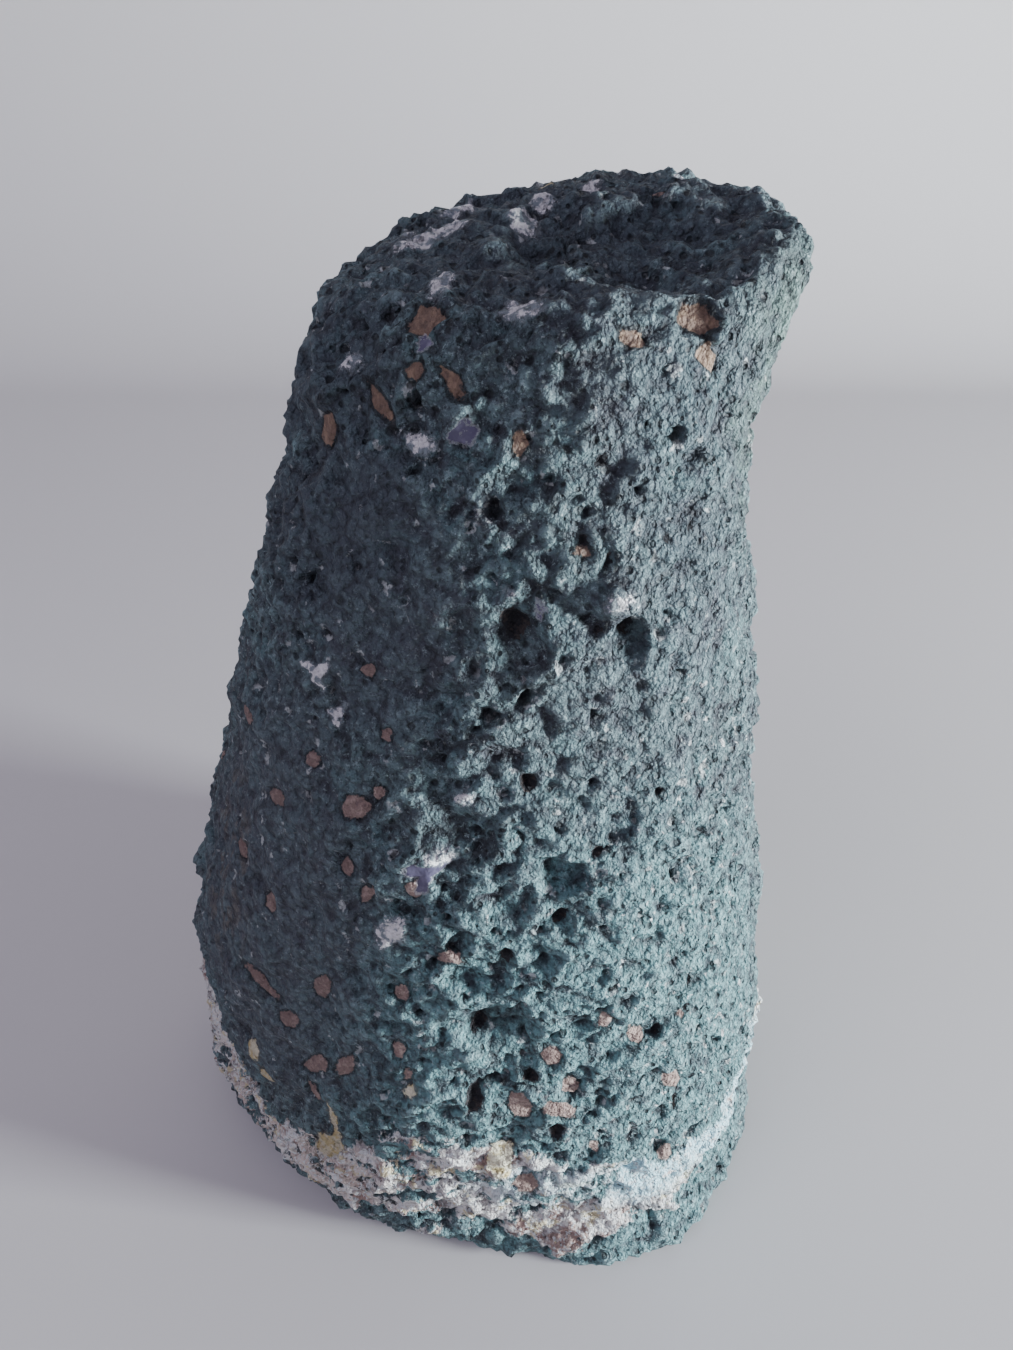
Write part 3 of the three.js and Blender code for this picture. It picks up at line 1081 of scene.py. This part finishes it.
MINERAL_LOOKS: Mapping[Mineral, MineralLook] = {
    # Zeolite and clay that filled round bubbles: dull, brown-pink, with an open crack round them.
    # On calm rind they are darker, which is painted shade.
    Mineral.AMYGDALE: MineralLook(
        (Layer("#957f76", 1.0), Layer("#b8a297", 0.8, 1.6, 0.47, 0.62),
         Layer("#6a595a", 0.7, 1.1, 0.44, 0.34), Layer("#5e4a48", 0.45, area="calm")),
        "#16191b", 0.5, 0.6, 1.8, 0.75, 0.2),
    # Broken faces of the brown lava that the bubbles did not reach: flat, faintly grained.
    Mineral.CHIP: MineralLook(
        (Layer("#776254", 1.0),
         Layer("#98806a", 0.7, 1.5, 0.45, 0.62, stretch=(1.0, 1.0, 0.4)),
         Layer("#5c4d46", 0.7, 1.6, 0.46, 0.36, 0.75)),
        "#1b1c1d", 0.6, 0.7, 1.6, 0.7, 0.35),
    # Agate: smooth lilac-grey glass-like stone with a thin white skin.
    Mineral.AGATE: MineralLook(
        (Layer("#524f66", 1.0), Layer("#6c6980", 0.6, 3.0, 0.45, 0.6)),
        "#c9cdd1", 0.4, 0.5, 2.4, 0.2, 0.9),
    # Quartz: white sugar-like grains that glitter.
    Mineral.QUARTZ: MineralLook(
        (Layer("#8f9ba2", 1.0), Layer("#ffffff", 1.0, 2.4, 0.44, 0.54),
         Layer("#4a5258", 0.7, 2.0, 0.4, 0.33)),
        "#a2abae", 0.6, 0.35, 4.2, 0.4),
    # Iron-stained calcite: cream to ochre grains, darker in the stained area, which is partly a
    # real stain and partly painted shade.
    Mineral.OCHRE: MineralLook(
        (Layer("#e8d79e", 1.0), Layer("#fffadc", 0.95, 3.0, 0.4, 0.52),
         Layer("#6d5a3c", 0.8, 2.4, 0.4, 0.34), Layer("#7d6745", 0.45, area="stained")),
        "#6f6752", 0.5, 0.4, 2.6, 0.6),
    # Dirt and painted shade at the bottom of open bubbles: near black, with brown dust.
    Mineral.DIRT: MineralLook(
        (Layer("#2b2c30", 1.0), Layer("#4a423f", 0.8, 1.6, 0.5, 0.62)),
        "#30363b", 0.5, 0.4, 2.4, 0.9),
}


@dataclass(frozen=True)
class BasaltFinish:
    """Weathered basalt with the minerals that fill its bubbles and crust its foot.

    Dull crystalline rock scatters light widely and its grit catches it in points, so it has no
    clear highlight of its own. Agate is smooth and shows the window.

    Attributes:
        grain_mm: Height of the grains.
        bead: Size of the small round beads that the skin is made of.
        bead_mm: Depth of the creases between them.
        crease: How far from a bead's middle the painted shade begins and is full, in beads.
        crease_share: How dark the painted shade in the creases is, from 0 to 1.
        warp: Size of the swirls that bend the beads.
        warp_mm: How far they bend them.
        grit: Size of the grit that the grains lie in.
        grit_mm: Height of the grit.
        pore_spacing: Spacing of the finest pores.
        pore_mm: Depth of the finest pores.
        pore_rarity: Share of the cells that hold no pore.
        pore_radii: Smallest and largest radius of a pore, in cells.
        pore_share: How dark the painted shade in the pores is, from 0 to 1.
        calm_pores: Share of the pores that is left on calm rind.
        edge: Half of the width in which one mineral gives way to another.
        crust_edge: The same for the crust.
        crust_fray_mm: How far noise moves the crust's edge.
        dull: Roughness where the grit is dull.
        bright: Roughness where its crystal faces catch the light.
        glint: Values of the grit between which it turns from dull to bright.
        specular: Strength of its reflection, a little less than smooth stone's.
    """

    grain_mm: float = 1.0
    bead: float = 1.9
    bead_mm: float = 1.9
    crease: tuple[float, float] = (0.4, 0.8)
    crease_share: float = 0.5
    warp: float = 1.6
    warp_mm: float = 1.4
    grit: float = 1.4
    grit_mm: float = 2.4
    pore_spacing: float = 2.3
    pore_mm: float = 1.4
    pore_rarity: float = 0.3
    pore_radii: tuple[float, float] = (0.03, 0.5)
    pore_share: float = 0.8
    calm_pores: float = 0.3
    edge: float = 0.15
    crust_edge: float = 0.8
    crust_fray_mm: float = 9.0
    dull: float = 0.85
    bright: float = 0.5
    glint: tuple[float, float] = (0.35, 0.65)
    specular: float = 0.4

    def material(self) -> Material:
        """Make the rind's material.

        Returns:
            The material.
        """
        material, node = empty_material("weathered_basalt_rind")
        RindShader(self, node).build()
        return material


class RindShader:
    """The nodes of the rind's material."""

    def __init__(self, finish: BasaltFinish, node: Callable[..., Node]) -> None:
        """Start with the surface point and the grain, grit, pores and beads there.

        Args:
            finish: The finish whose sizes it has.
            node: Adds a node to the material's tree.
        """
        self.finish = finish
        self.node = node
        self.place = node(VECTOR, node("ShaderNodeTexCoord").outputs["Object"],
                          operation="SCALE", into={"Scale": 1 / MM})
        self.grain = node(CELLS, into={"Vector": self.place, "Scale": 1 / GRAIN})
        self.grit = node(NOISE, into={
            "Vector": self.place, "Scale": 1 / finish.grit, "Detail": 4.0, "Roughness": 0.7})
        self.fray = node(MATH, self.grit, 0.5, operation="SUBTRACT")
        self.pore = self.pores()
        self.bead = self.beads()

    def pores(self) -> Node:
        """Add the finest pores, at most one in a cell and fewer on calm rind.

        Returns:
            What is 1 in a pore and 0 outside.
        """
        finish, node = self.finish, self.node
        cells = node(CELLS, into={"Vector": self.place, "Scale": 1 / finish.pore_spacing})
        draw = node("ShaderNodeSeparateColor", cells.outputs["Color"])
        radius = node(RANGE, draw, finish.pore_rarity, 1.0, *finish.pore_radii)
        share = node(MATH, cells.outputs["Distance"], radius, operation="DIVIDE")
        pore = node(RANGE, share, 1.0, 0.5, **SMOOTH)
        calm = node(FIELD, attribute_name="calm").outputs["Fac"]
        left = node(RANGE, calm, 0.0, 1.0, 1.0, finish.calm_pores)
        return node(MATH, pore, left, operation="MULTIPLY")

    def beads(self) -> NodeSocket:
        """Add the small beads, bent by swirls.

        Returns:
            The distance from a bead's middle, in beads.
        """
        finish, node = self.finish, self.node
        swirl = node(NOISE, into={"Vector": self.place, "Scale": 1 / finish.warp, "Detail": 2.0})
        swirl = node(VECTOR, swirl.outputs["Color"], operation="SCALE",
                     into={"Scale": finish.warp_mm})
        bent = node(VECTOR, self.place, swirl, operation="ADD")
        cells = node(CELLS, into={"Vector": bent, "Scale": 1 / finish.bead})
        return cells.outputs["Distance"]

    def lay(self, layers: Sequence[Layer]) -> Any:
        """Lay colours over each other, the first one everywhere.

        Args:
            layers: The colours, from the lowest up.

        Returns:
            The resulting colour, a socket or linear values.
        """
        colour: Any = linear(layers[0].colour)
        for layer in layers[1:]:
            colour = layer.over(self.node, self.place, colour)
        return colour

    def rock(self) -> NodeSocket:
        """Lay the rock's colours, with painted shade in the creases and the pores.

        Returns:
            The rock's colour.
        """
        finish, node = self.finish, self.node
        colour = self.lay(ROCK)
        crease = node(RANGE, self.bead, *finish.crease, 0.0, finish.crease_share, **SMOOTH)
        dark = node(MATH, self.pore, finish.pore_share, operation="MULTIPLY")
        # Painted shade darkens the creases and the pores.
        for share, dirt in ((crease, CREASE_SHADE), (dark, PORE_SHADE)):
            colour = node(MIX, data_type="RGBA",
                          into={0: share, 6: colour, 7: linear(dirt)}).outputs[2]
        return colour

    def crusted(self, rock: NodeSocket) -> NodeSocket:
        """Lay the crust's colours over the rock's.

        Args:
            rock: The rock's colour.

        Returns:
            The resulting colour.
        """
        finish, node = self.finish, self.node
        inside = node(FIELD, attribute_name="crust").outputs["Fac"]
        tattered = node(MATH, self.fray, finish.crust_fray_mm, inside,
                        operation="MULTIPLY_ADD")
        share = node(RANGE, tattered, -finish.crust_edge, finish.crust_edge, **SMOOTH)
        return node(MIX, data_type="RGBA",
                    into={0: share, 6: rock, 7: self.lay(CRUST)}).outputs[2]

    def mineral(self, kind: Mineral, under: NodeSocket) -> tuple[NodeSocket, Node]:
        """Lay one mineral's patches, with the line round them.

        Args:
            kind: Which mineral.
            under: The colour under them.

        Returns:
            The resulting colour, and the mineral's share.
        """
        look, edge, node = MINERAL_LOOKS[kind], self.finish.edge, self.node
        known = node(FIELD, attribute_name=kind.value).outputs["Fac"]
        distance = node(MATH, self.fray, look.fray_mm, known, operation="MULTIPLY_ADD")
        inside = node(RANGE, distance, edge, -edge, **SMOOTH)
        near = node(RANGE, distance, look.rim_mm + edge, look.rim_mm - edge, 0.0,
                    look.rim_share, **SMOOTH)
        rimmed = node(MIX, data_type="RGBA",
                      into={0: near, 6: under, 7: linear(look.rim)}).outputs[2]
        laid = node(MIX, data_type="RGBA",
                    into={0: inside, 6: rimmed, 7: self.lay(look.layers)})
        return laid.outputs[2], inside

    def build(self) -> None:
        """Lay rock, crust and minerals over each other, and end the tree with their bumps."""
        finish, node = self.finish, self.node
        colour = self.crusted(self.rock())
        rough: Any = node(RANGE, self.grit, *finish.glint, finish.dull, finish.bright)
        flat: Any = 0.0
        for kind, look in MINERAL_LOOKS.items():
            colour, share = self.mineral(kind, colour)
            rough = node(MIX, data_type="FLOAT",
                         into={0: share, 2: rough, 3: look.roughness}).outputs[0]
            flat = node(MATH, share, look.smooth, flat, operation="MULTIPLY_ADD",
                        use_clamp=True)

        height = node(MATH, self.grit, finish.grit_mm, operation="MULTIPLY")
        fall = node(MATH, self.bead, 2.0, operation="POWER")
        for lump, deep in ((self.grain.outputs["Distance"], finish.grain_mm),
                           (fall, finish.bead_mm), (self.pore, finish.pore_mm)):
            height = node(MATH, lump, -deep, height, operation="MULTIPLY_ADD")
        strength = node(MATH, 1.0, flat, operation="SUBTRACT")
        bump = node("ShaderNodeBump",
                    into={"Strength": strength, "Distance": MM, "Height": height})
        shader = node("ShaderNodeBsdfPrincipled", into={
            "Base Color": colour, "Roughness": rough, "Normal": bump,
            "Specular IOR Level": finish.specular})
        node("ShaderNodeOutputMaterial", shader.outputs[0])


# ---- pieces


@dataclass
class Rind:
    """The stone itself: the body with its fine relief and its minerals.

    Attributes:
        voxel: Size of the even cells that the body is rebuilt in.
        smooth_rounds: Smoothing rounds that take the body's flat facets away.
        smooth_share: How far one round moves a vertex toward its neighbours, from 0 to 1.
        weld: How near to each other vertices are joined first.
        most_triangles: What the finished piece stays under.
        relief: Sizes of its fine relief.
        hidden: Its patches behind.
        finish: What it is made of.
    """

    voxel: float = 0.75
    quick_voxel: float = 1.1
    smooth_rounds: int = 34
    quick_rounds: int = 16
    smooth_share: float = 0.5
    weld: float = 0.01
    most_triangles: int = 198_000
    relief: Relief = field(default_factory=Relief)
    hidden: HiddenPatches = field(default_factory=HiddenPatches)
    finish: BasaltFinish = field(default_factory=BasaltFinish)

    def build(self) -> Object:
        """Build the rind over the frame's body.

        Returns:
            The finished object, a plain mesh.
        """
        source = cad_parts["geode"]
        rind = bpy.data.objects.new("rind", source.data.copy())
        bpy.context.collection.objects.link(rind)
        rind.data.materials.clear()
        self.even_out(rind)
        self.mark(rind.data)
        run_tree(rind, ReliefTree(self.relief).build(),
                 {**self.relief.inputs(), "Finish": self.finish.material()})
        apply_modifiers(rind)
        self.thin(rind)
        self.stand(rind.data)
        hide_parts("geode")
        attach(rind, "root")
        log.info("rind: %d faces", len(rind.data.polygons))
        return rind

    def even_out(self, rind: Object) -> None:
        """Rebuild the body in even cells and smooth its facets away.

        Args:
            rind: The body's copy.
        """
        weld = rind.modifiers.new("weld", "WELD")
        weld.merge_threshold = self.weld * MM
        cells = rind.modifiers.new("cells", "REMESH")
        cells.mode = "VOXEL"
        cells.voxel_size = self.voxel * MM
        soften = rind.modifiers.new("soften", "SMOOTH")
        soften.factor = self.smooth_share
        soften.iterations = self.smooth_rounds
        apply_modifiers(rind)

    def mark(self, mesh: Mesh) -> None:
        """Store the skin's fields on the mesh: areas, crust, patches and the steps they cut.

        Args:
            mesh: The smoothed body.
        """
        skin = Skin(mesh)
        for name, areas in AREAS.items():
            skin.add_areas(name, areas)
        skin.add_band()
        drawn = [(mineral, patch) for mineral, patches in FRONT_PATCHES.items()
                 for patch in patches]
        for mineral, patch in (*drawn, *self.hidden.strewn(skin.points)):
            skin.add_patch(mineral, patch)
        for name, values in skin.fields.items():
            attribute = mesh.attributes.new(name, "FLOAT", "POINT")
            attribute.data.foreach_set("value", values.astype(np.float32))

    def thin(self, rind: Object) -> None:
        """Collapse the flattest edges until the piece is under its number of triangles.

        Args:
            rind: The piece with its relief.
        """
        triangles = sum(len(polygon.vertices) - 2 for polygon in rind.data.polygons)
        thinning = rind.modifiers.new("thinning", "DECIMATE")
        thinning.ratio = min(1.0, self.most_triangles / triangles)
        apply_modifiers(rind)

    def stand(self, mesh: Mesh) -> None:
        """Keep the whole piece on or above the floor, and shade it smoothly.

        Args:
            mesh: The piece's mesh.
        """
        points = np.empty(len(mesh.vertices) * 3, np.float32)
        mesh.vertices.foreach_get("co", points)
        points[2::3] = np.maximum(points[2::3], 0.0)
        mesh.vertices.foreach_set("co", points)
        mesh.shade_smooth()


# ---- studio


@dataclass(frozen=True)
class AreaLight:
    """A square soft light that faces the stone.

    Attributes:
        name: The light's name.
        azimuth: Degrees round the stone from the front, toward the right.
        elevation: Degrees above the floor.
        away: Distance from the stone's middle, in metres.
        size: Side, in metres.
        power: Watts.
        colour: sRGB hex colour.
    """

    name: str
    azimuth: float
    elevation: float
    away: float
    size: float
    power: float
    colour: str

    def build(self, target: Vector) -> None:
        """Place the light.

        Args:
            target: The point that it faces, in metres.
        """
        light = bpy.data.lights.new(self.name, "AREA")
        light.energy = self.power
        light.color = linear(self.colour)[:3]
        light.shape = "SQUARE"
        light.size = self.size
        lamp = bpy.data.objects.new(self.name, light)
        bpy.context.collection.objects.link(lamp)
        azimuth, elevation = math.radians(self.azimuth), math.radians(self.elevation)
        level = math.cos(elevation)
        way = Vector((math.sin(azimuth) * level, -math.cos(azimuth) * level, math.sin(elevation)))
        lamp.location = target + way * self.away
        lamp.rotation_euler = way.to_track_quat("Z", "Y").to_euler()


@dataclass
class Studio:
    """The floor, the backdrop, the lights and the camera.

    Attributes:
        target: The point that the lights face, in metres.
        lights: A low window at the right, and the room's wide light at the left.
        sky: sRGB hex colour of the light all round.
        sky_strength: Its strength.
        paper: sRGB hex colour of the backdrop.
        paper_roughness: Roughness of the backdrop.
        pitch: How far the camera looks down, in degrees.
        lens: The camera's focal length.
        sensor: The camera's sensor along the picture's longer side.
        nearest: How near to the camera things are still seen, in metres.
        floor_half: Half of the floor's side, in metres.
        wall_at: How far behind the stone the backdrop rises, in metres.
        wall_height: Its height, in metres.
        bend: Radius of its bend, in metres.
        bend_steps: Flat steps in the bend.
    """

    target: Vector = field(default_factory=lambda: Vector((0.0, 0.0, 0.12)))
    lights: Sequence[AreaLight] = (
        AreaLight("window", 75, 3.5, 1.4, 0.25, 80, "#eef6fb"),
        AreaLight("room", -50, 38, 2.2, 1.4, 17, "#d9d2ea"),
    )
    sky: str = "#d0c9e0"
    sky_strength: float = 0.5
    paper: str = "#cbc9c8"
    paper_roughness: float = 0.9
    pitch: float = 33.469
    lens: float = 24.0
    sensor: float = 36.0
    nearest: float = 0.01
    floor_half: float = 2.4
    wall_at: float = 1.1
    wall_height: float = 2.4
    bend: float = 0.35
    bend_steps: int = 16

    def build(self) -> None:
        """Build the whole studio."""
        self.backdrop()
        for light in self.lights:
            light.build(self.target)
        self.world()
        self.camera()
        log.info("studio: %d lights", len(self.lights))

    def backdrop(self) -> None:
        """Sweep pale paper from the floor up the wall behind."""
        profile = [(-self.floor_half, 0.0)]
        for step in range(self.bend_steps + 1):
            turn = math.pi / 2 * step / self.bend_steps
            profile.append((self.wall_at - self.bend + self.bend * math.sin(turn),
                            self.bend - self.bend * math.cos(turn)))
        profile.append((self.wall_at, self.wall_height))
        corners = [(side * self.floor_half, y, z) for y, z in profile for side in (-1, 1)]
        faces = [(2 * i, 2 * i + 1, 2 * i + 3, 2 * i + 2) for i in range(len(profile) - 1)]
        mesh = bpy.data.meshes.new("backdrop")
        mesh.from_pydata(corners, [], faces)
        mesh.shade_smooth()
        mesh.materials.append(self.paper_material())
        backdrop = bpy.data.objects.new("backdrop", mesh)
        bpy.context.collection.objects.link(backdrop)

    def paper_material(self) -> Material:
        """Make the backdrop's matt paper, which scatters light evenly and shows no gloss.

        Returns:
            The material.
        """
        material, node = empty_material("matt_paper")
        shader = node("ShaderNodeBsdfPrincipled",
                      into={"Base Color": linear(self.paper), "Roughness": self.paper_roughness})
        node("ShaderNodeOutputMaterial", shader.outputs[0])
        return material

    def world(self) -> None:
        """Fill the room with plain cool light."""
        world = bpy.data.worlds.new("room")
        world.use_nodes = True
        tree = world.node_tree
        tree.nodes.clear()
        sky = add(tree, "ShaderNodeBackground", linear(self.sky), self.sky_strength)
        add(tree, "ShaderNodeOutputWorld", sky.outputs[0])
        bpy.context.scene.world = world

    def camera(self) -> None:
        """Set the camera over the stone, looking down on it."""
        camera = bpy.data.cameras.new("camera")
        camera.lens = self.lens
        camera.sensor_width = self.sensor
        camera.clip_start = self.nearest
        holder = bpy.data.objects.new("camera", camera)
        bpy.context.collection.objects.link(holder)
        holder.location = Vector(EYE) * MM
        holder.rotation_euler = (math.radians(90.0 - self.pitch), 0.0, 0.0)
        bpy.context.scene.camera = holder


def main() -> None:
    """Build the stone and the studio."""
    logging.basicConfig(level=logging.INFO, format="%(name)s: %(message)s")
    Rind().build()
    Studio().build()


if __name__ == "__main__":
    main()
